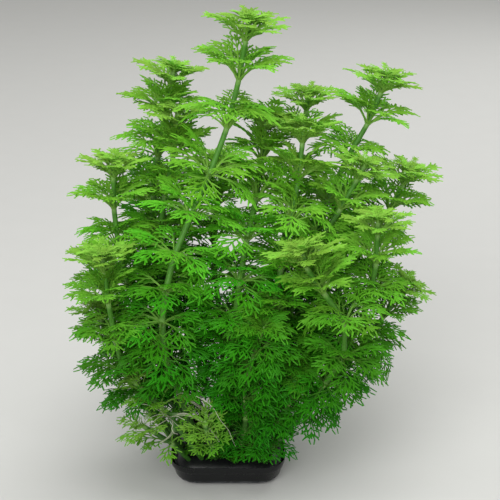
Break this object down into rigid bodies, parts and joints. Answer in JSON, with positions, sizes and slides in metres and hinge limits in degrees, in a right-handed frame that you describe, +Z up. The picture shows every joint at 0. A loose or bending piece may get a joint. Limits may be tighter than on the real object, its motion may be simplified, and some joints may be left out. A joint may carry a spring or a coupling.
{
  "type": "dwarf ambulia plant",
  "caption": "Bushy bunch of feathery whorled water-plant sprigs standing in a low square pot of dark gravel.",
  "frame": {"origin": "centre of the pot's flat underside", "axes": "+Z up through the plant, -Y towards the side that the picture shows, +X to that side's right"},
  "size_m": [0.1836, 0.1454, 0.2318],
  "materials": {
    "plant": "soft living leaf and stem, matte with a slight sheen",
    "pot": "smooth black plastic",
    "gravel": "matte dark grains"
  },
  "bodies": {
    "root": {"gravel_fill": "gravel", "pot": "pot", "sprig_back_centre": "plant", "sprig_back_left": "plant", "sprig_bent": "plant", "sprig_centre": "plant", "sprig_far_right": "plant", "sprig_front_low": "plant", "sprig_front_shoot": "plant", "sprig_inner": "plant", "sprig_left_front": "plant", "sprig_left_low": "plant", "sprig_left_shoot": "plant", "sprig_left_tall": "plant", "sprig_low_right": "plant", "sprig_rear_centre": "plant", "sprig_rear_left": "plant", "sprig_rear_low": "plant", "sprig_rear_right": "plant", "sprig_rear_shoot": "plant", "sprig_rear_side": "plant", "sprig_right_front": "plant", "sprig_right_low": "plant", "sprig_right_tall": "plant", "sprig_right_upper": "plant", "sprig_rooted": "plant", "sprig_slender": "plant", "sprig_tall_front": "plant"}
  },
  "joints": []
}
